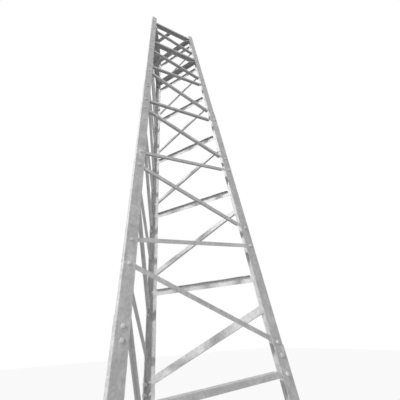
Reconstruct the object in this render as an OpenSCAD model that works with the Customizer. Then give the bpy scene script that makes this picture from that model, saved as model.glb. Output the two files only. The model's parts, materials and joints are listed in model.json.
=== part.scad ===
// Self-supporting radio tower: three tapering legs of folded plate, each leg lapped
// and bolted from sections, angle struts and single diagonals on every face, and two
// level frames of heavy angle near the top, each with a tie across it.
// Millimetres. The origin is on the ground at the middle of the three legs, +Z up,
// and the front face, between the left and right legs, looks along -Y.
// Each leg's holes sit lower than the last leg's, so the bracing climbs like a helix.

/* [Tower] */
// Height of one bracing bay
bay_h = 813; // [700:1:900]
// Bays below the lowest leg lap
base_bays = 2; // [2:1:3]
// Bays in a full section, between one leg lap and the next
section_bays = 3; // [3:1:4]
// Face width at the ground, corner to corner of the face planes
base_w = 1402; // [1150:1:1700]
// Amount that each face narrows in one bay
bay_taper = 57.5; // [45:0.1:65]
// Share of a bay by which each leg's holes sit lower than the last leg's
stagger = 0.228; // [0.21:0.001:0.24]
// Drop of the bracing marks below whole bays
mark_drop = 30; // [0:1:40]
// Rise of a front strut from the left leg to the right one
front_rise = 60; // [40:1:70]

/* [Legs] */
// Width of each side flange of a leg, from the fold
flange_w = 87; // [80:1:100]
// Width of the flat nose between the two folds of a leg
nose_w = 24; // [23:1:32]
// Plate thickness of a leg
leg_t = 4; // [3:0.5:5]
// Inside radius of a leg's folds
fold_r = 5; // [3:0.5:6]
// Lap of one leg section inside the next one down, as a share of a bay
lap_h = 0.19; // [0.17:0.005:0.2]
// Height of a section's upper end above its last bracing mark, as a share of a bay
leg_end = 0.48; // [0.46:0.005:0.5]
// Height of the left leg's head above the top frame
left_head = 230; // [150:1:300]
// Height of the right leg's head above the top frame
right_head = 144; // [80:1:200]
// Height of the rear leg's head above the top frame
rear_head = 90; // [70:1:200]

/* [Bracing] */
// Wide flange of a bracing angle, flat on the legs of the rear faces
wide_flange = 52; // [43:1:58]
// Narrow flange of a bracing angle, flat on the legs of the front face
narrow_flange = 30; // [25:1:36]
// Thickness of a bracing angle
angle_t = 3.5; // [3:0.5:5]
// Distance from the leg's fold to the bolt line on its flange
bolt_line = 44; // [42:1:48]
// Length of a bracing angle past its end bolt
angle_end = 19; // [17:1:20]
// Length from the end bolt over which an angle's inward flange is cut away
cope = 56; // [52:1:70]
// Drop from a front strut to the upper end of the diagonal under it
diagonal_drop = 155; // [120:1:180]
// Drop from a right face's strut to the upper end of the diagonal under it
right_drop = 200; // [170:1:220]
// Drop from a level frame to the upper end of the front diagonal under it
frame_drop = 310; // [280:1:340]
// Rise from a strut to the lower end of the diagonal over it
diagonal_rise = 160; // [140:1:190]
// Drop from the left leg's next mark to the upper end of a left face's strut
left_strut_drop = 250; // [230:1:280]
// Drop from the left leg's mark to the upper end of the left face's diagonal
left_diagonal_drop = 130; // [115:1:140]
// Drop from the rear leg's mark to the lower end of the left face's diagonal
rear_drop = 300; // [270:1:320]
// Height of the lowest bolt that a diagonal may have
lowest_bolt = 172; // [165:1:180]

/* [Top frames] */
// Width of a frame angle's level flange, which points inward
shelf_w = 87; // [70:1:105]
// Height of a frame angle's upright flange, which is bolted to the legs
apron_h = 45; // [38:1:54]
// Thickness of a frame angle
frame_t = 5; // [4:0.5:7]
// Gap between the mitred shelves of two frame angles at a leg
mitre_gap = 10; // [8:1:16]
// Width of the flat tie across a frame
tie_w = 64; // [50:1:76]
// Thickness of the flat tie
tie_t = 5; // [4:0.5:7]

/* [Feet] */
// Width of a foot plate
foot_w = 200; // [190:1:260]
// Thickness of a foot plate
foot_t = 12; // [8:1:20]
// Height of the foot's stub above its plate
stub_h = 120; // [100:1:130]
// Diameter of the circle of anchor holes
anchor_pcd = 220; // [210:1:240]
// Diameter of the anchor holes in a foot plate
anchor_d = 18; // [14:1:22]

/* [Hidden] */

// Clearance between two bolted faces
seat = 0.3;
// Seat of a brace on the legs, which takes up its slant between two nested sections
brace_seat = 0.5;
// Leg sections, counted up from the ground
sections = 3;
// Legs by number: left, right and rear; each face is numbered by its left-hand leg
left = 0;
right = 1;
rear = 2;
// Chords in each fold's arc
fold_steps = 6;
steel = [0.66, 0.67, 0.68];
dull_steel = [0.55, 0.56, 0.57];
top_bay = base_bays + section_bays * (sections - 1);
// Bays at whose marks a level frame goes round the tower
frame_bays = [top_bay - 1, top_bay];
face_tilt = atan(bay_taper / bay_h / (2 * sqrt(3)));
leg_tilt = atan(bay_taper / bay_h / sqrt(3));
// Half of the angle between the two face planes, square to the leg's axis
half_fold = 90 - acos(sin(face_tilt) * sin(face_tilt) - cos(face_tilt) * cos(face_tilt) / 2) / 2;
fold_turn = 90 - half_fold;
// Step inward from one leg section to the next, which nests inside it
nest = leg_t + seat;
// Distance from the base section's corner to its fold, along either face
fold_run = nose_w / 2 / sin(half_fold);
foot_radius = base_w / sqrt(3) - fold_run - flange_w / 2;
// Distance from the legs' middle to the middle of the ground that the feet cover, where
// the origin is
legs_offset = (foot_radius / 2 + foot_w / 2 * (1 - sin(30) - cos(30))) / 2;
heads = [left_head, right_head, rear_head];
// Wide or narrow flange on the leg, by face
flat_flanges = [narrow_flange, wide_flange, wide_flange];
inward_flanges = [wide_flange, narrow_flange, narrow_flange];

// Height of a leg's bracing mark at a bay
function mark(leg, bay) = (bay - leg * stagger) * bay_h - mark_drop;

// Height of the upper end of one section of a leg
function section_end(leg, k) = k < sections - 1
    ? mark(leg, base_bays + section_bays * k) + leg_end * bay_h
    : mark(left, top_bay) + heads[leg];

// Section that a bolt at height z goes through last, from the outside
function section_at(leg, z) =
    len([for (k = [0 : sections - 2]) if (z > section_end(leg, k) - lap_h * bay_h) k]);

// Half of the face planes' width at height z
function half_face(z) = (base_w - bay_taper / bay_h * z) / 2;

// Place of a bolt's inner end in a face's frame: along the face, inward and up it.
// end is -1 at the face's left-hand leg and 1 at its right-hand leg.
function bolt_at(leg, end, z) = [
    end * (half_face(z) - fold_run - bolt_line),
    section_at(leg, z) * nest + leg_t + brace_seat,
    z / cos(face_tilt)
];

// Heights of a strut's end and of its diagonal's end at a face's right-hand leg. The
// left face's braces all climb from the rear leg to the left one.
function far_mark(face, bay) = face == rear
    ? mark(left, bay + 1) - left_strut_drop
    : mark(face + 1, bay) + stagger * bay_h + (face == left ? front_rise : 0);
function far_end(face, bay) = face == rear
    ? mark(left, bay + 1) - left_diagonal_drop
    : far_mark(face, bay) + diagonal_rise;

// Drop from a leg's next mark to the end of the diagonal at a face's left-hand leg
near_drops = [diagonal_drop, right_drop, rear_drop];
function near_drop(face, bay) = meets_frame(face, bay) ? frame_drop : near_drops[face];

// The two bolts of a strut and of the diagonal over it
function strut_bolts(face, bay) = [
    bolt_at(face, -1, mark(face, bay)),
    bolt_at((face + 1) % 3, 1, far_mark(face, bay))
];
function diagonal_bolts(face, bay) = [
    bolt_at(face, -1,
        max(lowest_bolt + 2 * wide_flange, mark(face, bay + 1) - near_drop(face, bay))),
    bolt_at((face + 1) % 3, 1,
        shares_bolt(face, bay) ? mark(left, bay) : max(lowest_bolt, far_end(face, bay)))
];

// Whether a diagonal's upper end is under a frame, and whether its lower end is on
// the same bolt as a frame
function meets_frame(face, bay) = face == left && bay >= top_bay - len(frame_bays);
function shares_bolt(face, bay) = face == right && bay == frame_bays[0];

// Half of the nose of section k, which narrows so that it nests in the one outside it
function half_nose(k) = nose_w / 2 - k * nest * tan(fold_turn / 2);

// The two bolts of a level frame's angle. The right face's angles are packed out, so
// that a diagonal goes between one of them and the rear leg.
function frame_bolts(face, bay) = [for (end = [-1, 1])
    bolt_at(end < 0 ? face : (face + 1) % 3, end, mark(left, bay))
        + [0, face == right ? angle_t + seat : 0, 0]];

// Distance from the bolt to a shelf's mitre at a depth inward, and the depth at which
// the mitre meets the apron's end
function mitre_at(depth) =
    (depth + 2 * nest + leg_t) / tan(half_fold) + mitre_gap - fold_run - bolt_line;
mitre_from = (fold_run + bolt_line - mitre_gap - angle_end) * tan(half_fold)
    - 2 * nest - leg_t;

// Points of one fold's arc of radius r, on the side of section k given by side
function fold_arc(k, r, side) = [for (i = [0 : fold_steps])
    let (a = 180 - side * fold_turn * i / fold_steps)
        [half_nose(k) / tan(half_fold) + fold_r + leg_t + r * cos(a),
         side * (half_nose(k) - (fold_r + leg_t) * tan(fold_turn / 2)) + r * sin(a)]];

// Corner of the end of section k's flange, in from its outer face
function flange_end(k, inset, side) =
    let (run = half_nose(k) / sin(half_fold) + flange_w)
        [run * cos(half_fold) + inset * sin(half_fold),
         side * (run * sin(half_fold) - inset * cos(half_fold))];

function reversed(list) = [for (i = [len(list) - 1 : -1 : 0]) list[i]];

// Cross-section of leg section k: its faces' corner at the origin, the inside along +X
module leg_profile(k) {
    outside = concat([flange_end(k, 0, 1)], reversed(fold_arc(k, fold_r + leg_t, 1)),
        fold_arc(k, fold_r + leg_t, -1), [flange_end(k, 0, -1)]);
    inside = concat([flange_end(k, leg_t, 1)], reversed(fold_arc(k, fold_r, 1)),
        fold_arc(k, fold_r, -1), [flange_end(k, leg_t, -1)]);
    polygon(concat(outside, reversed(inside)));
}

// Puts a leg's own frame in place: +Z up the leaning leg, +X inward
module on_leg(leg) {
    at_corner(leg, base_w / sqrt(3))
        rotate([0, -leg_tilt, 0])
            rotate([0, 0, 180])
                children();
}

// Places its children on the ground at a leg's corner, at a radius from the legs' middle
module at_corner(leg, radius) {
    translate([0, -legs_offset, 0])
        rotate([0, 0, 210 + 120 * leg])
            translate([radius, 0, 0])
                children();
}

// Puts a face's own frame in place: +X along the face, +Y inward, +Z up its slope
module on_face(face) {
    translate([0, -legs_offset, 0])
        rotate([0, 0, 120 * face])
            translate([0, -base_w / (2 * sqrt(3)), 0])
                rotate([-face_tilt, 0, 0])
                    children();
}

// Length of folded plate between two heights, nested inside the base section by k steps
module leg_length(leg, k, from, to) {
    on_leg(leg)
        translate([k * nest / sin(half_fold), 0, from / cos(leg_tilt)])
            linear_extrude((to - from) / cos(leg_tilt))
                leg_profile(k);
}

// One section of a leg; the base section is cut level over its foot plate
module leg_section(leg, k) {
    color(steel)
        if (k == 0)
            difference() {
                leg_length(leg, k, -nose_w, section_end(leg, k));
                translate([-base_w, -base_w, -base_w])
                    cube([2 * base_w, 2 * base_w, base_w + foot_t]);
            }
        else
            leg_length(leg, k, section_end(leg, k - 1) - lap_h * bay_h, section_end(leg, k));
}

// Foot: an anchor plate with a stub of folded plate that nests inside the leg
module foot(leg) {
    color(dull_steel)
        union() {
            difference() {
                leg_length(leg, 1, -nose_w, foot_t + stub_h);
                translate([-base_w, -base_w, -base_w])
                    cube([2 * base_w, 2 * base_w, base_w + foot_t / 2]);
            }
            at_corner(leg, foot_radius)
                difference() {
                    translate([-foot_w / 2, -foot_w / 2, 0])
                        cube([foot_w, foot_w, foot_t]);
                    for (a = [45 : 90 : 315])
                        rotate([0, 0, a])
                            translate([anchor_pcd / 2, 0, -foot_t])
                                cylinder(h = 3 * foot_t, d = anchor_d, $fn = 32);
                }
        }
}

// Lays its children along the line between two bolts: +X along it from the first
// bolt, +Y inward, +Z square to both
module between_bolts(bolts) {
    span = bolts[1] - bolts[0];
    translate(bolts[0])
        rotate([0, -atan2(span.z, norm([span.x, span.y])), atan2(span.y, span.x)])
            children();
}

// Angle brace of length run between its bolts. Its inward flange is along the upper
// edge if side is 1 and the lower edge if it is -1, and is cut away near both ends.
module brace(face, run, side, cut) {
    flat = flat_flanges[face];
    translate([-angle_end, 0, -flat / 2])
        cube([run + 2 * angle_end, angle_t, flat]);
    translate([cope, 0, side > 0 ? flat / 2 - angle_t : -flat / 2])
        cube([run - cope - cut, inward_flanges[face], angle_t]);
}

module struts(face, bays) {
    color(steel)
        on_face(face)
            for (bay = bays)
                between_bolts(strut_bolts(face, bay))
                    brace(face, norm(strut_bolts(face, bay)[1] - strut_bolts(face, bay)[0]),
                        1, cope);
}

module diagonals(face, bays) {
    color(steel)
        on_face(face)
            for (bay = bays) {
                span = diagonal_bolts(face, bay)[1] - diagonal_bolts(face, bay)[0];
                between_bolts(diagonal_bolts(face, bay))
                    brace(face, norm(span), face == left ? 1 : -1,
                        shares_bolt(face, bay) ? frame_cope(atan2(-span.z, span.x)) : cope);
            }
}

// Length over which a diagonal's inward flange is cut away to clear a frame's apron,
// from the bolt that they share
function frame_cope(slope) =
    (apron_h / 2 + wide_flange / 2 * cos(slope)) / sin(slope) + angle_t + frame_t;

// Level angle round one face: its apron on the legs, its shelf mitred at both legs
module frame_angle(face, bay) {
    bolts = frame_bolts(face, bay);
    run = bolts[1].x - bolts[0].x;
    between_bolts(bolts) {
        translate([-angle_end, 0, -apron_h / 2])
            cube([run + 2 * angle_end, frame_t, apron_h]);
        translate([0, 0, apron_h / 2 - frame_t])
            linear_extrude(frame_t)
                polygon([
                    [-angle_end, 0], [run + angle_end, 0], [run + angle_end, mitre_from],
                    [run - mitre_at(shelf_w), shelf_w], [mitre_at(shelf_w), shelf_w],
                    [-angle_end, mitre_from]
                ]);
        if (face == right)
            for (x = shares_bolt(face, bay) ? [0] : [0, run])
                translate([x - angle_end, -angle_t - seat, -apron_h / 2])
                    cube([2 * angle_end, frame_t, apron_h]);
    }
}

module frames(face) {
    color(dull_steel)
        on_face(face)
            for (bay = frame_bays)
                frame_angle(face, bay);
}

// Bays of each section: struts at their marks and diagonals over them. The frames take
// the place of the last struts on all but the right face.
strut_bays = [
    [1 : base_bays],
    [base_bays + 1 : base_bays + section_bays],
    [base_bays + section_bays + 1 : top_bay]
];
framed_bays = [base_bays + section_bays + 1 : top_bay - len(frame_bays)];
diagonal_bays = [
    [0 : base_bays - 1],
    [base_bays : base_bays + section_bays - 1],
    [base_bays + section_bays : top_bay - 1]
];

// Inner side of the frames' aprons at a height, in from the tower's middle
function apron_reach(z) = half_face(z) / sqrt(3) - 2 * nest - leg_t - brace_seat - frame_t;

// Flat bars across the frames, from the middle of the front to the middle of the left
// face, bolted under the shelves
module frame_ties() {
    color(dull_steel)
        for (bay = frame_bays)
            translate([0, -legs_offset, mark(left, bay) + apron_h / 2 - frame_t - seat
                    - tie_t - (shelf_w + 3 * nest) * sin(face_tilt)])
                linear_extrude(tie_t)
                    intersection() {
                        tower_triangle(apron_reach(mark(left, bay) + apron_h / 2) - seat);
                        rotate([0, 0, 120])
                            translate([-half_face(0), (apron_reach(mark(left, bay)) - tie_w) / 2])
                                square([2 * half_face(0), tie_w]);
                    }
}

// Triangle with a corner at each leg, whose sides lie reach from the tower's middle
module tower_triangle(reach) {
    polygon([for (leg = [left, right, rear])
        2 * reach * [cos(210 + 120 * leg), sin(210 + 120 * leg)]]);
}

module left_leg_base() { leg_section(left, 0); }
module left_leg_middle() { leg_section(left, 1); }
module left_leg_top() { leg_section(left, 2); }
module right_leg_base() { leg_section(right, 0); }
module right_leg_middle() { leg_section(right, 1); }
module right_leg_top() { leg_section(right, 2); }
module rear_leg_base() { leg_section(rear, 0); }
module rear_leg_middle() { leg_section(rear, 1); }
module rear_leg_top() { leg_section(rear, 2); }
module left_foot() { foot(left); }
module right_foot() { foot(right); }
module rear_foot() { foot(rear); }
module front_struts_base() { struts(left, strut_bays[0]); }
module front_struts_middle() { struts(left, strut_bays[1]); }
module front_struts_top() { struts(left, framed_bays); }
module right_struts_base() { struts(right, strut_bays[0]); }
module right_struts_middle() { struts(right, strut_bays[1]); }
module right_struts_top() { struts(right, strut_bays[2]); }
module left_struts_base() { struts(rear, strut_bays[0]); }
module left_struts_middle() { struts(rear, strut_bays[1]); }
module left_struts_top() { struts(rear, framed_bays); }
module front_diagonals_base() { diagonals(left, diagonal_bays[0]); }
module front_diagonals_middle() { diagonals(left, diagonal_bays[1]); }
module front_diagonals_top() { diagonals(left, diagonal_bays[2]); }
module right_diagonals_base() { diagonals(right, diagonal_bays[0]); }
module right_diagonals_middle() { diagonals(right, diagonal_bays[1]); }
module right_diagonals_top() { diagonals(right, diagonal_bays[2]); }
module left_diagonals_base() { diagonals(rear, diagonal_bays[0]); }
module left_diagonals_middle() { diagonals(rear, diagonal_bays[1]); }
module left_diagonals_top() { diagonals(rear, diagonal_bays[2]); }
module front_frames() { frames(left); }
module right_frames() { frames(right); }
module left_frames() { frames(rear); }

left_leg_base();
left_leg_middle();
left_leg_top();
right_leg_base();
right_leg_middle();
right_leg_top();
rear_leg_base();
rear_leg_middle();
rear_leg_top();
left_foot();
right_foot();
rear_foot();
front_struts_base();
front_struts_middle();
front_struts_top();
right_struts_base();
right_struts_middle();
right_struts_top();
left_struts_base();
left_struts_middle();
left_struts_top();
front_diagonals_base();
front_diagonals_middle();
front_diagonals_top();
right_diagonals_base();
right_diagonals_middle();
right_diagonals_top();
left_diagonals_base();
left_diagonals_middle();
left_diagonals_top();
front_frames();
right_frames();
left_frames();
frame_ties();
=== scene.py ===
"""Galvanised lattice tower: finishes for its steel, its bolts and welds, and a plain stage."""

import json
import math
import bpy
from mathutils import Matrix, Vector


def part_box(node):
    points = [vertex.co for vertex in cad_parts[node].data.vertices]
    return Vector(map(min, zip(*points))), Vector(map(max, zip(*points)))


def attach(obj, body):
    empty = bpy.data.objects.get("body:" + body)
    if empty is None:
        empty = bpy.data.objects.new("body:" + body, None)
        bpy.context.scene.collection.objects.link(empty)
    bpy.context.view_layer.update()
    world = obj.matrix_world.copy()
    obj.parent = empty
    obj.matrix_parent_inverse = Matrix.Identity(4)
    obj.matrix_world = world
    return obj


bl_info = {
    "name": "Lattice Tower Finisher",
    "version": (1, 0, 0),
    "blender": (4, 5, 0),
    "location": "3D View > Sidebar > Tower",
    "description": "Galvanised finishes, bolts and welds for a three-legged lattice tower",
    "category": "Object",
}

import bmesh
import bpy
from bpy.props import FloatProperty, FloatVectorProperty, IntProperty, PointerProperty
from mathutils import Matrix, Vector
from mathutils.bvhtree import BVHTree

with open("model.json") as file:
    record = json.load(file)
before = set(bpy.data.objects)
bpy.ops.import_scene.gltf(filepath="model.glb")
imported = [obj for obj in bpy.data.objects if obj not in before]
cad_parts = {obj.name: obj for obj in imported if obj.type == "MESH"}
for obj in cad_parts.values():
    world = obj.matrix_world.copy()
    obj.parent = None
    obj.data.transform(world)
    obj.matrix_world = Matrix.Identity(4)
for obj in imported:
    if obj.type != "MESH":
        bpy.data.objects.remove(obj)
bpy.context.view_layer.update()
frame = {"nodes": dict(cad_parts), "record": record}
BODY = "root"
FACES = ("front", "right", "left")
LEGS = ("left", "right", "rear")
SECTIONS = ("base", "middle", "top")
NODES = frame["nodes"]


# ---------------------------------------------------------------- settings


def length(name, default, description):
    """A size in metres, shown in the scene's units."""
    return FloatProperty(
        name=name, default=default, min=0.0, unit="LENGTH", precision=4, description=description
    )


def share(name, default, description):
    """A plain number from 0 to 1."""
    return FloatProperty(
        name=name, default=default, min=0.0, max=1.0, subtype="FACTOR", description=description
    )


def strength(name, default, description):
    """How strong a light is."""
    return FloatProperty(name=name, default=default, min=0.0, description=description)


def angle(name, radians, description):
    """An angle, shown in degrees."""
    return FloatProperty(name=name, default=radians, subtype="ANGLE", description=description)


def colour(name, default, description):
    """A linear colour without alpha."""
    return FloatVectorProperty(
        name=name, default=default, size=3, min=0.0, max=1.0, subtype="COLOR",
        description=description,
    )


class TowerZinc(bpy.types.PropertyGroup):
    """The zinc coat on the tower's steel."""

    leg: colour("Legs", (0.61, 0.61, 0.61), "Zinc on the folded legs")
    brace: colour("Braces", (0.63, 0.63, 0.63), "Zinc on the struts and diagonals")
    frame: colour("Frames", (0.55, 0.55, 0.55), "Zinc on the level frames and their ties")
    foot: colour("Feet", (0.56, 0.56, 0.55), "Zinc on the base plates")
    bolt: colour("Bolts", (0.76, 0.76, 0.75), "Zinc on bolts, nuts and washers")
    weld: colour("Welds", (0.44, 0.44, 0.43), "Zinc over the weld beads")
    spangle: length("Spangle", 0.013, "Size of the zinc's crystals")
    mottle: length("Mottle", 0.09, "Size of the cloudy patches")
    runs: length("Runs", 0.028, "Width of the streaks that rain leaves")
    # Painted shade: undersides are darkened in their colour, standing in for the shade under the
    # flanges.
    under_shade: share("Underside shade", 0.52, "How dark the undersides are")
    # Painted shade: the side turned to the front is darkened in its colour, standing in for the
    # shade on that side.
    front_shade: share("Front shade", 0.32, "How much painted shade darkens the side turned to the front")
    front_shade_from: angle(
        "Front shade bearing", math.radians(172),
        "Which way the side with painted shade faces, clockwise from the rear leg",
    )
    metal: share("Metal", 0.25, "How metallic the weathered zinc looks")


class TowerBolts(bpy.types.PropertyGroup):
    """Sizes of the bolts at the joints."""

    shank: length("Shank", 0.012, "Diameter of the bolts")
    flats: length("Across flats", 0.019, "Width of heads and nuts across their flats")
    head: length("Head", 0.008, "Height of the heads")
    nut: length("Nut", 0.0105, "Height of the nuts")
    washer: length("Washer", 0.025, "Diameter of the washers")
    washer_t: length("Washer thickness", 0.0025, "Thickness of the washers")
    stand: length("Thread", 0.006, "Length of thread past the nuts")
    end: length("Edge distance", 0.019, "From an angle's end to its bolt")
    lap_first: length("First lap bolt", 0.054, "From a section's end to its lap's first bolt")
    lap_pitch: length("Lap pitch", 0.062, "Spacing of the bolts in a lap")
    lap_rows: IntProperty(name="Lap bolts", default=2, min=1, description="Bolts in a lap's row")
    seed: IntProperty(name="Seed", default=7, min=0, description="Seed of the turns of the heads")


class TowerWelds(bpy.types.PropertyGroup):
    """The fillet welds round the leg stubs on the base plates."""

    plate: length("Plate", 0.012, "Thickness of the base plates")
    leg: length("Leg", 0.007, "Leg length of the fillet")
    ripple: length("Ripple", 0.006, "Spacing of the weld's ripples")


class TowerStage(bpy.types.PropertyGroup):
    """The pale floor, the soft lights and the camera."""

    floor: length("Floor", 60.0, "Width of the floor")
    pale: colour("Floor colour", (0.80, 0.80, 0.80), "Colour of the floor")
    glow: share("Floor glow", 0.89, "How much of the floor is seen as plain white")
    sky: strength("Sky light", 0.30, "Strength of the sky")
    key: strength("Key light", 2.0, "Strength of the key light")
    key_from: angle("Key bearing", math.radians(-115), "Clockwise from the rear leg")
    key_up: angle("Key height", math.radians(32), "Above the horizon")
    key_soft: angle("Key softness", math.radians(7), "Angle across the key light")
    fill: strength("Fill light", 0.95, "Strength of the fill light")
    fill_from: angle("Fill bearing", math.radians(-155), "Clockwise from the rear leg")
    fill_up: angle("Fill height", math.radians(4), "Above the horizon")
    fill_soft: angle("Fill softness", math.radians(40), "Angle across the fill light")
    lens: FloatProperty(name="Lens", default=20.29, min=1.0, description="Focal length in mm")
    shift: FloatVectorProperty(
        name="Shift", default=(0.070, -0.130), size=2, description="Shift of the lens"
    )
    eye: FloatVectorProperty(
        name="Eye", default=(-1.0233, -2.0962, 1.8831), size=3, unit="LENGTH",
        description="Place of the camera",
    )
    bearing: angle("Bearing", 0.48319, "Clockwise from the rear leg")
    look_up: angle("Look up", 0.69063, "Above the horizon")
    roll: angle("Roll", -0.04731, "Turn about the line of sight")


GROUPS = {
    "tower_zinc": TowerZinc,
    "tower_bolts": TowerBolts,
    "tower_welds": TowerWelds,
    "tower_stage": TowerStage,
}


# ---------------------------------------------------------------- node trees


class Graph:
    """Adds nodes to a tree, and links or sets their inputs in one call."""

    def __init__(self, tree):
        self.tree = tree

    def add(self, kind, inputs=None, **settings):
        node = self.tree.nodes.new(kind)
        for name, value in settings.items():
            setattr(node, name, value)
        for key, value in (inputs or {}).items():
            self.put(node.inputs[key], value)
        return node

    def put(self, socket, value):
        if isinstance(value, bpy.types.NodeSocket):
            self.tree.links.new(value, socket)
        else:
            socket.default_value = value

    def math(self, operation, *values, clamp=False):
        node = self.add("ShaderNodeMath", operation=operation, use_clamp=clamp)
        for socket, value in zip(node.inputs, values):
            self.put(socket, value)
        return node.outputs[0]

    def remap(self, value, low, high, to_low, to_high):
        node = self.add("ShaderNodeMapRange", {
            "Value": value, "From Min": low, "From Max": high, "To Min": to_low, "To Max": to_high,
        })
        return node.outputs["Result"]

    def mix(self, factor, a, b):
        """Mixes two colours."""
        node = self.add("ShaderNodeMix", data_type="RGBA")
        colours = [s for s in node.inputs if s.type == "RGBA"]
        for socket, value in zip((node.inputs[0], *colours), (factor, a, b)):
            self.put(socket, value)
        return next(s for s in node.outputs if s.type == "RGBA")

    def dot(self, a, b):
        """How far two directions are alike, as the cosine of the angle between them."""
        node = self.add("ShaderNodeVectorMath", {0: a, 1: b}, operation="DOT_PRODUCT")
        return node.outputs["Value"]

    def scale(self, vector, factor):
        node = self.add("ShaderNodeVectorMath", {0: vector, "Scale": factor}, operation="SCALE")
        return node.outputs[0]

    def darken(self, level, where, amount):
        """Takes a level down by an amount where a mask is 1."""
        taken = self.math("MULTIPLY", where, amount)
        return self.math("MULTIPLY", level, self.math("SUBTRACT", 1.0, taken))


def new_material(name):
    """An empty node material and its graph."""
    material = bpy.data.materials.new(name)
    material.use_nodes = True
    material.node_tree.nodes.clear()
    return material, Graph(material.node_tree)


NOISE = (0.3, 0.7)  # range that a noise mostly keeps to
STEEP = (0.35, 0.65)  # the same, for a sharper change
CRYSTAL_TONE = 0.12  # how far a crystal's tone is from the mean
TOWARD_SHADED_SIDE = (0.60, 0.85)  # cosine to the shaded side's direction where the painted shade starts and is full
LEAST_FRONT_SHADE = 0.85  # painted front shade on the brightest patches, as a share of the most
UNDER = (-0.84, -0.96)  # rise of the normal where the painted underside shade starts and is full
LEAST_UNDER_SHADE = 0.75  # painted underside shade on the brightest specks, as a share of the most
EDGE = 0.0025  # width of the brighter band along edges
EDGE_BRIGHTENING = 0.10  # how much brighter and smoother an edge is
BLOOM = (0.58, 0.74)  # cloud levels where pale bloom starts and is full
BLOOM_TONE = 1.12  # how much brighter bloom is
ROUGH = (0.46, 0.62)  # roughness of bright and of matt zinc
RELIEF = 0.0006  # height of the zinc's relief


def zinc_material(name, base, grain=1.0, mottle=1.0, shine=0.0):
    """Weathered hot-dip zinc: crystals, cloudy patches, rain streaks and brighter edges, with
    painted shade on the undersides and on the side turned to the front.
    """
    zinc = bpy.context.scene.tower_zinc
    material, g = new_material(name)
    place = g.add("ShaderNodeTexCoord").outputs["Object"]

    crystals = g.add("ShaderNodeTexVoronoi", {
        "Vector": place, "Scale": 1 / zinc.spangle, "Randomness": 1.0, "Exponent": 1.4,
    }, feature="F1", distance="MINKOWSKI")
    tone = g.add("ShaderNodeSeparateColor", {"Color": crystals.outputs["Color"]}).outputs[0]
    borders = g.add("ShaderNodeTexVoronoi", {
        "Vector": place, "Scale": 1 / zinc.spangle, "Randomness": 1.0,
    }, feature="DISTANCE_TO_EDGE").outputs["Distance"]
    clouds = g.add("ShaderNodeTexNoise", {
        "Vector": place, "Scale": 1 / zinc.mottle, "Detail": 6.0, "Roughness": 0.62,
        "Distortion": 0.6,
    }).outputs["Fac"]
    specks = g.add("ShaderNodeTexNoise", {
        "Vector": place, "Scale": 4 / zinc.mottle, "Detail": 4.0, "Roughness": 0.7,
    }).outputs["Fac"]
    runs = g.add("ShaderNodeMapping", {
        "Vector": place, "Scale": (1 / zinc.runs, 1 / zinc.runs, 0.05 / zinc.runs),
    }).outputs["Vector"]
    streaks = g.add("ShaderNodeTexNoise", {
        "Vector": runs, "Scale": 1.0, "Detail": 4.0, "Roughness": 0.6,
    }).outputs["Fac"]
    dust = g.add("ShaderNodeTexNoise", {
        "Vector": place, "Scale": 420.0, "Detail": 3.0, "Roughness": 0.65,
    }).outputs["Fac"]

    level = g.remap(tone, 0.0, 1.0, 1 - CRYSTAL_TONE * grain, 1 + CRYSTAL_TONE * grain)
    for noise, low, high in (
        (clouds, 1 - 0.13 * mottle, 1 + 0.09 * mottle),
        (specks, 1 - 0.07 * mottle, 1 + 0.05 * mottle),
        (streaks, 0.95, 1.04),
        (dust, 0.975, 1.025),
    ):
        level = g.math("MULTIPLY", level, g.remap(noise, *NOISE, low, high))

    normal = g.add("ShaderNodeNewGeometry").outputs["Normal"]
    # Painted shade: faces turned to the front are darkened, a little less on the brightest cloud
    # patches.
    shaded_side = (math.sin(zinc.front_shade_from), math.cos(zinc.front_shade_from), 0.0)
    on_shaded_side = g.remap(g.dot(normal, shaded_side), *TOWARD_SHADED_SIDE, 0.0, 1.0)
    level = g.darken(level, on_shaded_side, g.remap(clouds, *STEEP, zinc.front_shade, zinc.front_shade * LEAST_FRONT_SHADE))
    # Painted shade: faces turned down are darkened, a little less on the brightest specks.
    facing = g.add("ShaderNodeSeparateXYZ", {"Vector": normal}).outputs["Z"]
    under = g.remap(facing, *UNDER, 0.0, 1.0)
    level = g.darken(level, under, g.remap(specks, *STEEP, zinc.under_shade, zinc.under_shade * LEAST_UNDER_SHADE))

    # Edges are brighter and smoother along a narrow band.
    edge_brightening = g.math("MULTIPLY", edge_mask(g, EDGE), EDGE_BRIGHTENING)
    shade = g.scale((*base,), g.math("ADD", level, edge_brightening))
    bloom = g.remap(clouds, *BLOOM, 0.0, 0.35)
    tint = g.mix(bloom, shade, (*(min(1.0, c * BLOOM_TONE) for c in base), 1.0))

    rough = g.remap(clouds, *NOISE, ROUGH[0] - shine, ROUGH[1] - shine)
    rough = g.math("ADD", rough, g.math("MULTIPLY", g.math("SUBTRACT", tone, 0.5), 0.16))
    rough = g.math("SUBTRACT", rough, edge_brightening, clamp=True)

    height = g.math("MULTIPLY", dust, 0.25)
    height = g.math("ADD", height, g.math("MULTIPLY", specks, 0.6))
    height = g.math("ADD", height, g.remap(borders, 0.0, 0.08, 0.0, 0.25))
    bump = g.add("ShaderNodeBump", {"Height": height, "Distance": RELIEF, "Strength": 0.45})

    surface = g.add("ShaderNodeBsdfPrincipled", {
        "Base Color": tint, "Roughness": rough, "Metallic": zinc.metal,
        "Normal": bump.outputs["Normal"],
    })
    g.add("ShaderNodeOutputMaterial", {"Surface": surface.outputs[0]})
    return material


def edge_mask(g, radius):
    """1 on a convex or concave edge's rounding and 0 on the flat."""
    flat = g.add("ShaderNodeNewGeometry").outputs["Normal"]
    soft = g.add("ShaderNodeBevel", {"Radius": radius}, samples=4).outputs["Normal"]
    return g.remap(g.dot(flat, soft), 0.97, 0.80, 0.0, 1.0)


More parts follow.
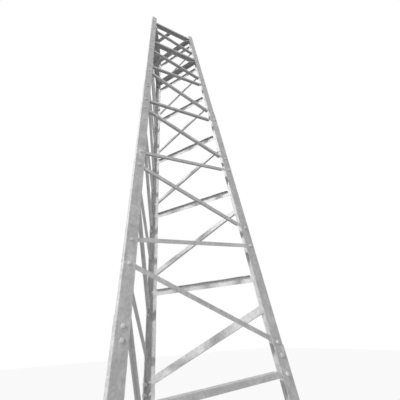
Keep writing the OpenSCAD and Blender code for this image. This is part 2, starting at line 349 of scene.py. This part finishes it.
def seen_rays(g):
    """1 for rays from the camera and for reflections, and 0 for light on the tower."""
    rays = g.add("ShaderNodeLightPath").outputs
    return g.math("MAXIMUM", rays["Is Camera Ray"], rays["Is Glossy Ray"])


# ---------------------------------------------------------------- reading the CAD solids


MERGE = 1e-6  # points nearer than this are one
SAME_LINE = 0.9995  # cosine past which two directions are one
SQUARE = 0.1  # cosine under which two directions count as square
TIP = 0.0008  # points this near a solid's end are its tip
SKIN = 0.0006  # points this near a tip's outer side are on it
STUB_BOLTS = (0.03, 0.085)  # down from a stub's top
TIE_BOLTS = (0.045, 0.085)  # in from a tie's end
CLEAR = 1.7  # least room round a lap's or stub's bolt, in washers
REACH = 0.06  # how far from its axis point a bolt's seat is looked for


def solids_of(node):
    """The separate solids of a CAD node, each a list of points and a list of (normal, area)."""
    mesh = bmesh.new()
    mesh.from_mesh(NODES[node].data)
    bmesh.ops.remove_doubles(mesh, verts=mesh.verts, dist=MERGE)
    mesh.verts.index_update()
    mesh.faces.index_update()
    unseen = set(mesh.verts)
    solids = []
    for start in mesh.verts:
        if start not in unseen:
            continue
        group, edge = {start}, [start]
        unseen.discard(start)
        while edge:
            for link in edge.pop().link_edges:
                for vert in link.verts:
                    if vert in unseen:
                        unseen.discard(vert)
                        group.add(vert)
                        edge.append(vert)
        faces = {face for vert in group for face in vert.link_faces}
        verts, faces = (sorted(items, key=lambda item: item.index) for items in (group, faces))
        solids.append((
            [vert.co.copy() for vert in verts],
            [(face.normal.copy(), face.calc_area()) for face in faces],
        ))
    mesh.free()
    return solids


def main_normals(faces):
    """Directions that a solid's faces point in, with the largest area first."""
    found = []
    for normal, area in faces:
        for entry in found:
            if abs(entry[0].dot(normal)) > SAME_LINE:
                entry[1] += area
                break
        else:
            found.append([normal.copy(), area])
    return [entry[0] for entry in sorted(found, key=lambda entry: -entry[1])]


def upright_plate(faces):
    """Outward normal of the flange that lies on the legs, and the solid's length direction."""
    normals = main_normals(faces)
    flat = next(n for n in normals if abs(n.z) < SQUARE)
    other = next(n for n in normals if abs(n.dot(flat)) < SQUARE)
    return flat, flat.cross(other).normalized()


def end_bolts(node, inset):
    """Where the end bolts of a node's solids go through, each with the way out of the tower."""
    bolts = []
    for points, faces in solids_of(node):
        flat, along = upright_plate(faces)
        middle = sum(points, Vector()) / len(points)
        if flat.dot(Vector((middle.x, middle.y - legs_middle().y, 0))) < 0:
            flat = -flat
        for way in (-1, 1):
            reach = max(way * p.dot(along) for p in points)
            tip = [p for p in points if way * p.dot(along) > reach - TIP]
            skin = max(p.dot(flat) for p in tip)
            tip = [p for p in tip if p.dot(flat) > skin - SKIN]
            at = sum(tip, Vector()) / len(tip) - way * inset * along
            bolts.append((at, flat.normalized()))
    return bolts


def legs_middle():
    """The point on the ground in the middle of the three legs."""
    centres = []
    for leg in LEGS:
        low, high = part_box(f"{leg}_foot")
        centres.append((low + high) / 2)
    return sum(centres, Vector()) / len(centres)


def line_through(points):
    """A call that gives the point at a height on the best line through points."""
    count = len(points)
    mean = sum(points, Vector()) / count
    spread = sum((p.z - mean.z) ** 2 for p in points)
    slope = sum(((p - mean) * (p.z - mean.z) for p in points), Vector()) / spread
    return lambda z: mean + slope * (z - mean.z)


def tower_tree():
    """A search tree over every CAD node's faces."""
    points, faces = [], []
    for node in NODES.values():
        first = len(points)
        points += [v.co.copy() for v in node.data.vertices]
        faces += [[first + i for i in p.vertices] for p in node.data.polygons]
    return BVHTree.FromPolygons(points, faces)


def bolt_seats():
    """Seats of all heads and of all nuts, as (place, way out of the steel)."""
    sizes = bpy.context.scene.tower_bolts
    axes, rails = [], {}
    for f, face in enumerate(FACES):
        for part in ("struts", "diagonals"):
            for section in SECTIONS:
                found = end_bolts(f"{face}_{part}_{section}", sizes.end)
                axes += found
                for at, out in found:
                    across = Vector((-out.y, out.x, 0))
                    end = 1 if (at - legs_middle()).dot(across) > 0 else 0
                    rails.setdefault((f, end), []).append((at, out))
        axes += end_bolts(f"{face}_frames", sizes.end)
    for (f, end), found in rails.items():
        leg = LEGS[(f + end) % len(LEGS)]
        at_height = line_through([at for at, _ in found])
        out = found[0][1]
        heights = [
            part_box(f"{leg}_leg_{section}")[1].z - sizes.lap_first - row * sizes.lap_pitch
            for section in SECTIONS[:2] for row in range(sizes.lap_rows)
        ]
        heights += [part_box(f"{leg}_foot")[1].z - back for back in STUB_BOLTS]
        for z in heights:
            if all(abs(at.z - z) > CLEAR * sizes.washer for at, _ in found):
                axes.append((at_height(z), out))
    kept = []
    for at, out in axes:
        if all((at - other).length > sizes.washer / 2 for other, _ in kept):
            kept.append((at, out))
    return seats_on(kept + tie_bolts(), tower_tree())


def tie_bolts():
    """Where the ties' bolts go through, two at each end."""
    up = Vector((0, 0, 1))
    bolts = []
    for points, faces in solids_of("frame_ties"):
        side = next(n for n in main_normals(faces) if abs(n.z) < SQUARE)
        along = up.cross(side).normalized()
        for way in (-1, 1):
            tip = sorted(points, key=lambda p: -way * p.dot(along))[:4]
            middle = sum(tip, Vector()) / len(tip)
            bolts += [(middle - way * back * along, up) for back in TIE_BOLTS]
    return bolts


def seats_on(axes, tree):
    """First steel met along each axis from outside, for heads, and from inside, for nuts."""
    heads, nuts = [], []
    for at, out in axes:
        for seats, way in ((heads, out), (nuts, -out)):
            hit = tree.ray_cast(at + REACH * way, -way, 2 * REACH)[0]
            if hit is not None:
                seats.append((hit, way))
    return heads, nuts


# ---------------------------------------------------------------- geometry nodes


CHAMFER_TOP = 0.475  # radius of a hexagon's flat top, in widths across flats
CHAMFER_FOOT = 1.25  # radius of its chamfer's cone at the foot, in the same
ROOTED = 0.4  # share of the nut's height that the thread's end goes down into it
THREAD_RING = 0.0011  # height of one ring of thread
THREAD_WAVE = 0.03  # how far the rings go in and out, in radii
STEPS = 0.34  # spacing of a bead's points, in ripples
BEAD = 0.74  # radius of a bead, in weld legs
BEAD_WAVE = 0.07  # how far its ripples go in and out, in weld legs
RANDOM_MOST, RANDOM_VALUE = 3, 1  # a plain number's sockets on a Random Value node
BOLT_CREASE = math.radians(20)  # bolts' edges past this angle stay sharp
WELD_CREASE = math.radians(60)  # and welds' edges


def new_group(name, inputs):
    """A geometry node tree with a mesh and named inputs in, and a mesh out."""
    tree = bpy.data.node_groups.new(name, "GeometryNodeTree")
    face = tree.interface
    face.new_socket("Geometry", in_out="INPUT", socket_type="NodeSocketGeometry")
    for label, kind in inputs.items():
        face.new_socket(label, in_out="INPUT", socket_type=f"NodeSocket{kind}")
    face.new_socket("Geometry", in_out="OUTPUT", socket_type="NodeSocketGeometry")
    g = Graph(tree)
    return tree, g, g.add("NodeGroupInput"), g.add("NodeGroupOutput")


def finish_group(g, geometry, material, out):
    """Ends a tree in Realize Instances and Set Material."""
    real = g.add("GeometryNodeRealizeInstances", {"Geometry": geometry})
    coat = g.add("GeometryNodeSetMaterial", {
        "Geometry": real.outputs[0], "Material": material,
    })
    g.put(out.inputs[0], coat.outputs[0])


def lifted(g, mesh, height):
    """Geometry moved up by a height."""
    move = g.add("ShaderNodeCombineXYZ", {"Z": height})
    return g.add("GeometryNodeTransform", {
        "Geometry": mesh, "Translation": move.outputs[0],
    }).outputs[0]


def fastener_tree(name, threaded):
    """Washer and chamfered hexagon at every point, with the thread's end if it is a nut."""
    tree, g, given, out = new_group(name, {
        "Across Flats": "Float", "Height": "Float", "Washer": "Float",
        "Washer Thickness": "Float", "Shank": "Float", "Thread": "Float",
        "Seed": "Int", "Material": "Material",
    })
    flats, height = given.outputs["Across Flats"], given.outputs["Height"]
    thick = given.outputs["Washer Thickness"]
    hexagon = g.add("GeometryNodeMeshCylinder", {
        "Vertices": 6, "Radius": g.math("DIVIDE", flats, math.sqrt(3)), "Depth": height,
    }).outputs["Mesh"]
    cone = g.add("GeometryNodeMeshCone", {
        "Vertices": 24, "Radius Top": g.math("MULTIPLY", flats, CHAMFER_TOP),
        "Radius Bottom": g.math("MULTIPLY", flats, CHAMFER_FOOT), "Depth": height,
    }).outputs["Mesh"]
    half = g.math("MULTIPLY", height, -0.5)
    cut = g.add("GeometryNodeMeshBoolean", operation="INTERSECT", solver="EXACT")
    g.put(cut.inputs["Mesh"], hexagon)
    g.put(cut.inputs["Mesh"], lifted(g, cone, half))
    middle = g.math("ADD", thick, g.math("MULTIPLY", height, 0.5))
    hexagon = lifted(g, cut.outputs["Mesh"], middle)
    washer = g.add("GeometryNodeMeshCylinder", {
        "Vertices": 28, "Radius": g.math("MULTIPLY", given.outputs["Washer"], 0.5), "Depth": thick,
    }).outputs["Mesh"]
    parts = [hexagon, lifted(g, washer, g.math("MULTIPLY", thick, 0.5))]
    if threaded:
        parts.append(thread_end(g, given, height, thick))
    joined = g.add("GeometryNodeJoinGeometry")
    for part in parts:
        g.put(joined.inputs[0], part)
    aim = g.add("GeometryNodeInputNamedAttribute", {"Name": "aim"}, data_type="FLOAT_VECTOR")
    facing = g.add("FunctionNodeAlignRotationToVector", {
        "Vector": aim.outputs["Attribute"],
    }, axis="Z")
    turn = g.add("FunctionNodeRandomValue", {
        RANDOM_MOST: math.tau, "Seed": given.outputs["Seed"],
    }, data_type="FLOAT")
    spin = g.add("FunctionNodeAxisAngleToRotation", {
        "Axis": (0, 0, 1), "Angle": turn.outputs[RANDOM_VALUE],
    })
    facing = g.add("FunctionNodeRotateRotation", {
        "Rotation": facing.outputs[0], "Rotate By": spin.outputs[0],
    }, rotation_space="LOCAL")
    placed = g.add("GeometryNodeInstanceOnPoints", {
        "Points": g.add("GeometryNodeMeshToPoints", {"Mesh": given.outputs["Geometry"]}).outputs[0],
        "Instance": joined.outputs[0], "Rotation": facing.outputs[0],
    })
    finish_group(g, placed.outputs[0], given.outputs["Material"], out)
    return tree


def thread_end(g, given, height, thick):
    """The end of the bolt past its nut, with its thread as rings of two sizes."""
    tall = g.math("ADD", given.outputs["Thread"], g.math("MULTIPLY", height, ROOTED))
    rod = g.add("GeometryNodeMeshCylinder", {
        "Vertices": 20, "Side Segments": 8,
        "Radius": g.math("MULTIPLY", given.outputs["Shank"], 0.5), "Depth": tall,
    })
    place = g.add("GeometryNodeInputPosition").outputs[0]
    split = g.add("ShaderNodeSeparateXYZ", {"Vector": place})
    wave = g.math("SINE", g.math("MULTIPLY", split.outputs["Z"], math.pi / THREAD_RING))
    narrow = g.math("SUBTRACT", 1 - THREAD_WAVE, g.math("MULTIPLY", wave, THREAD_WAVE))
    moved = g.add("ShaderNodeCombineXYZ", {
        "X": g.math("MULTIPLY", split.outputs["X"], narrow),
        "Y": g.math("MULTIPLY", split.outputs["Y"], narrow), "Z": split.outputs["Z"],
    })
    rod = g.add("GeometryNodeSetPosition", {
        "Geometry": rod.outputs["Mesh"], "Position": moved.outputs[0],
    })
    top = g.math("ADD", g.math("ADD", thick, height), given.outputs["Thread"])
    return lifted(g, rod.outputs[0], g.math("SUBTRACT", top, g.math("MULTIPLY", tall, 0.5)))


def bead_tree():
    """A fillet bead with ripples, swept along a line of edges."""
    tree, g, given, out = new_group("Weld Bead", {
        "Leg": "Float", "Ripple": "Float", "Material": "Material",
    })
    leg, ripple = given.outputs["Leg"], given.outputs["Ripple"]
    line = g.add("GeometryNodeMeshToCurve", {"Mesh": given.outputs["Geometry"]}).outputs[0]
    line = g.add("GeometryNodeResampleCurve", {
        "Curve": line, "Length": g.math("MULTIPLY", ripple, STEPS),
    }, mode="LENGTH").outputs[0]
    along = g.add("GeometryNodeSplineParameter").outputs["Length"]
    wave = g.math("SINE", g.math("DIVIDE", g.math("MULTIPLY", along, math.tau), ripple))
    radius = g.math("ADD", BEAD, g.math("MULTIPLY", wave, BEAD_WAVE))
    profile = g.add("GeometryNodeCurvePrimitiveCircle", {"Resolution": 8, "Radius": 1.0}).outputs[0]
    bead = g.add("GeometryNodeCurveToMesh", {
        "Curve": line, "Profile Curve": profile, "Scale": g.math("MULTIPLY", leg, radius),
    })
    finish_group(g, bead.outputs[0], given.outputs["Material"], out)
    return tree


def run_tree(points, tree, values, name):
    """Evaluates a tree over a point or edge mesh, and returns the result as a plain object."""
    holder = bpy.data.objects.new(f"{name}_source", points)
    bpy.context.scene.collection.objects.link(holder)
    modifier = holder.modifiers.new("Nodes", "NODES")
    modifier.node_group = tree
    for item in tree.interface.items_tree:
        if item.in_out == "INPUT" and item.name in values:
            modifier[item.identifier] = values[item.name]
    bpy.context.view_layer.update()
    deps = bpy.context.evaluated_depsgraph_get()
    mesh = bpy.data.meshes.new_from_object(holder.evaluated_get(deps), depsgraph=deps)
    bpy.data.objects.remove(holder)
    mesh.name = name
    if not mesh.polygons:
        raise RuntimeError(f"{name} came out empty")
    piece = bpy.data.objects.new(name, mesh)
    bpy.context.scene.collection.objects.link(piece)
    return piece


def smooth_by_angle(mesh, crease):
    """Smooth shading with sharp edges past an angle."""
    shape = bmesh.new()
    shape.from_mesh(mesh)
    for face in shape.faces:
        face.smooth = True
    for edge in shape.edges:
        edge.smooth = edge.is_manifold and edge.calc_face_angle(0.0) < crease
    shape.to_mesh(mesh)
    shape.free()


def coat(piece, material, slot):
    """Gives a new piece its one material and its body; the slot argument is not used."""
    piece.data.materials.clear()
    piece.data.materials.append(material)
    for polygon in piece.data.polygons:
        polygon.material_index = 0
    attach(piece, BODY)


# ---------------------------------------------------------------- operators


BEAD_LIFT = 0.2  # height of a bead's middle over its plate, in weld legs
JOIN = 1e-5  # ends of a cut outline nearer than this are one
LAMP_AWAY = 12  # metres from the tower's foot to a lamp
SENSOR = 36  # millimetres across the camera's sensor
SIGHT = 200  # metres that the camera sees


class TOWER_OT_finish_steel(bpy.types.Operator):
    """Give every leg, brace, frame and foot its galvanised finish"""

    bl_idname = "tower.finish_steel"
    bl_label = "Finish Steel"

    def execute(self, context):
        zinc = context.scene.tower_zinc
        coats = {
            "leg_steel": zinc_material("Galvanised Leg", zinc.leg, grain=1.0, mottle=1.0),
            "brace_steel": zinc_material("Galvanised Brace", zinc.brace, grain=0.8, mottle=0.9),
            "frame_steel": zinc_material("Galvanised Frame", zinc.frame, grain=0.7, mottle=1.3),
            "foot_steel": zinc_material("Galvanised Foot", zinc.foot, grain=0.9, mottle=1.5),
        }
        for row in frame["record"]["subparts"]:
            slots = NODES[row["node"]].material_slots
            if not slots:
                raise RuntimeError(f"{row['node']} has no material slot")
            for slot in slots:
                slot.material = coats[row["material_slot"]]
        return {"FINISHED"}


class TOWER_OT_add_bolts(bpy.types.Operator):
    """Bolt every joint: heads outside, nuts and thread ends inside, washers under both"""

    bl_idname = "tower.add_bolts"
    bl_label = "Add Bolts"

    def execute(self, context):
        sizes = context.scene.tower_bolts
        zinc = context.scene.tower_zinc
        steel = zinc_material("Galvanised Bolt", zinc.bolt, grain=0.6, mottle=0.8, shine=0.08)
        heads, nuts = bolt_seats()
        for name, seats, height, threaded in (
            ("bolt_heads", heads, sizes.head, False), ("bolt_nuts", nuts, sizes.nut, True),
        ):
            points = bpy.data.meshes.new(f"{name}_points")
            points.from_pydata([at for at, _ in seats], [], [])
            aim = points.attributes.new("aim", "FLOAT_VECTOR", "POINT")
            aim.data.foreach_set("vector", [c for _, way in seats for c in way])
            piece = run_tree(points, fastener_tree(name, threaded), {
                "Across Flats": sizes.flats, "Height": height, "Washer": sizes.washer,
                "Washer Thickness": sizes.washer_t, "Shank": sizes.shank,
                "Thread": sizes.stand, "Seed": sizes.seed, "Material": steel,
            }, name)
            smooth_by_angle(piece.data, BOLT_CREASE)
            coat(piece, steel, "brace_steel")
        return {"FINISHED"}


class TOWER_OT_add_welds(bpy.types.Operator):
    """Run a fillet weld round each leg stub where it stands on its base plate"""

    bl_idname = "tower.add_welds"
    bl_label = "Add Welds"

    def execute(self, context):
        sizes = context.scene.tower_welds
        zinc = context.scene.tower_zinc
        steel = zinc_material("Galvanised Weld", zinc.weld, grain=0.5, mottle=1.4, shine=0.04)
        line = bpy.data.meshes.new("weld_lines")
        shape = bmesh.new()
        for leg in LEGS:
            self.add_outline(shape, f"{leg}_foot", sizes.plate + sizes.leg * BEAD_LIFT)
        shape.to_mesh(line)
        shape.free()
        piece = run_tree(line, bead_tree(), {
            "Leg": sizes.leg, "Ripple": sizes.ripple, "Material": steel,
        }, "foot_welds")
        smooth_by_angle(piece.data, WELD_CREASE)
        coat(piece, steel, "foot_steel")
        return {"FINISHED"}

    @staticmethod
    def add_outline(shape, node, height):
        """Adds the closed outline of a node's section at a height."""
        cut = bmesh.new()
        cut.from_mesh(NODES[node].data)
        bmesh.ops.remove_doubles(cut, verts=cut.verts, dist=MERGE)
        bmesh.ops.bisect_plane(
            cut, geom=cut.verts[:] + cut.edges[:] + cut.faces[:],
            plane_co=(0, 0, height), plane_no=(0, 0, 1), clear_inner=True, clear_outer=True,
        )
        places = {v: shape.verts.new(v.co) for v in cut.verts}
        for edge in cut.edges:
            shape.edges.new([places[v] for v in edge.verts])
        cut.free()
        bmesh.ops.remove_doubles(shape, verts=list(places.values()), dist=JOIN)


class TOWER_OT_set_stage(bpy.types.Operator):
    """Lay the pale floor, and set the lights, the background and the camera"""

    bl_idname = "tower.set_stage"
    bl_label = "Set Stage"

    def execute(self, context):
        stage = context.scene.tower_stage
        self.lay_floor(context.scene, stage)
        self.light(context.scene, stage)
        self.aim_camera(context.scene, stage)
        context.scene.view_settings.view_transform = "Standard"
        return {"FINISHED"}

    @staticmethod
    def lay_floor(scene, stage):
        half = stage.floor / 2
        mesh = bpy.data.meshes.new("floor")
        mesh.from_pydata(
            [(-half, -half, 0), (half, -half, 0), (half, half, 0), (-half, half, 0)], [],
            [(0, 1, 2, 3)],
        )
        material, g = new_material("Pale Floor")
        place = g.add("ShaderNodeTexCoord").outputs["Object"]
        grain = g.add("ShaderNodeTexNoise", {"Vector": place, "Scale": 3.0, "Detail": 3.0})
        level = g.remap(grain.outputs["Fac"], *NOISE, 0.99, 1.01)
        matt = g.add("ShaderNodeBsdfDiffuse", {"Color": g.scale((*stage.pale,), level)})
        glow = g.add("ShaderNodeEmission", {"Color": (1, 1, 1, 1), "Strength": 1.0})
        both = g.add("ShaderNodeMixShader", {
            "Fac": g.math("MULTIPLY", seen_rays(g), stage.glow),
            1: matt.outputs[0], 2: glow.outputs[0],
        })
        g.add("ShaderNodeOutputMaterial", {"Surface": both.outputs[0]})
        mesh.materials.append(material)
        floor = bpy.data.objects.new("floor", mesh)
        scene.collection.objects.link(floor)

    @staticmethod
    def light(scene, stage):
        world = bpy.data.worlds.new("Pale Sky")
        world.use_nodes = True
        world.node_tree.nodes.clear()
        g = Graph(world.node_tree)
        level = g.remap(seen_rays(g), 0.0, 1.0, stage.sky, 1.0)
        sky = g.add("ShaderNodeBackground", {"Color": (1, 1, 1, 1), "Strength": level})
        g.add("ShaderNodeOutputWorld", {"Surface": sky.outputs[0]})
        scene.world = world
        for name in ("key", "fill"):
            lamp = bpy.data.lights.new(name, "SUN")
            lamp.energy = getattr(stage, name)
            lamp.angle = getattr(stage, f"{name}_soft")
            way, up = getattr(stage, f"{name}_from"), getattr(stage, f"{name}_up")
            source = Vector((
                math.sin(way) * math.cos(up), math.cos(way) * math.cos(up), math.sin(up),
            ))
            holder = bpy.data.objects.new(name, lamp)
            holder.rotation_euler = source.to_track_quat("Z", "Y").to_euler()
            holder.location = source * LAMP_AWAY
            scene.collection.objects.link(holder)

    @staticmethod
    def aim_camera(scene, stage):
        data = bpy.data.cameras.new("camera")
        data.lens = stage.lens
        data.sensor_width = SENSOR
        data.shift_x, data.shift_y = stage.shift
        data.clip_end = SIGHT
        camera = bpy.data.objects.new("camera", data)
        scene.collection.objects.link(camera)
        a, e, r = stage.bearing, stage.look_up, stage.roll
        ahead = Vector((math.sin(a) * math.cos(e), math.cos(a) * math.cos(e), math.sin(e)))
        right = Vector((math.cos(a), -math.sin(a), 0))
        up = right.cross(ahead)
        right, up = (
            math.cos(r) * right + math.sin(r) * up, math.cos(r) * up - math.sin(r) * right,
        )
        turned = Matrix((right, up, -ahead)).transposed().to_4x4()
        camera.matrix_world = Matrix.Translation(stage.eye) @ turned
        scene.camera = camera


OPERATORS = (
    TOWER_OT_set_stage,
    TOWER_OT_finish_steel,
    TOWER_OT_add_bolts,
    TOWER_OT_add_welds,
)


class TOWER_PT_panel(bpy.types.Panel):
    """Lists the steps that finish the tower, and their sizes and colours"""

    bl_idname = "TOWER_PT_panel"
    bl_label = "Lattice Tower"
    bl_space_type = "VIEW_3D"
    bl_region_type = "UI"
    bl_category = "Tower"

    def draw(self, context):
        for step in OPERATORS:
            self.layout.operator(step.bl_idname)
        for name, group in GROUPS.items():
            box = self.layout.box()
            box.label(text=group.__doc__)
            for prop in group.__annotations__:
                box.prop(getattr(context.scene, name), prop)


def register():
    """Registers the settings, the operators and the panel."""
    for name, group in GROUPS.items():
        bpy.utils.register_class(group)
        setattr(bpy.types.Scene, name, PointerProperty(type=group))
    for item in (*OPERATORS, TOWER_PT_panel):
        bpy.utils.register_class(item)


def unregister():
    """Removes what register added."""
    for item in (TOWER_PT_panel, *reversed(OPERATORS)):
        bpy.utils.unregister_class(item)
    for name, group in reversed(GROUPS.items()):
        delattr(bpy.types.Scene, name)
        bpy.utils.unregister_class(group)


def main():
    """Registers the add-on, then runs every step in order."""
    register()
    for step in OPERATORS:
        space, name = step.bl_idname.split(".")
        getattr(getattr(bpy.ops, space), name)()


if __name__ == "__main__":
    main()
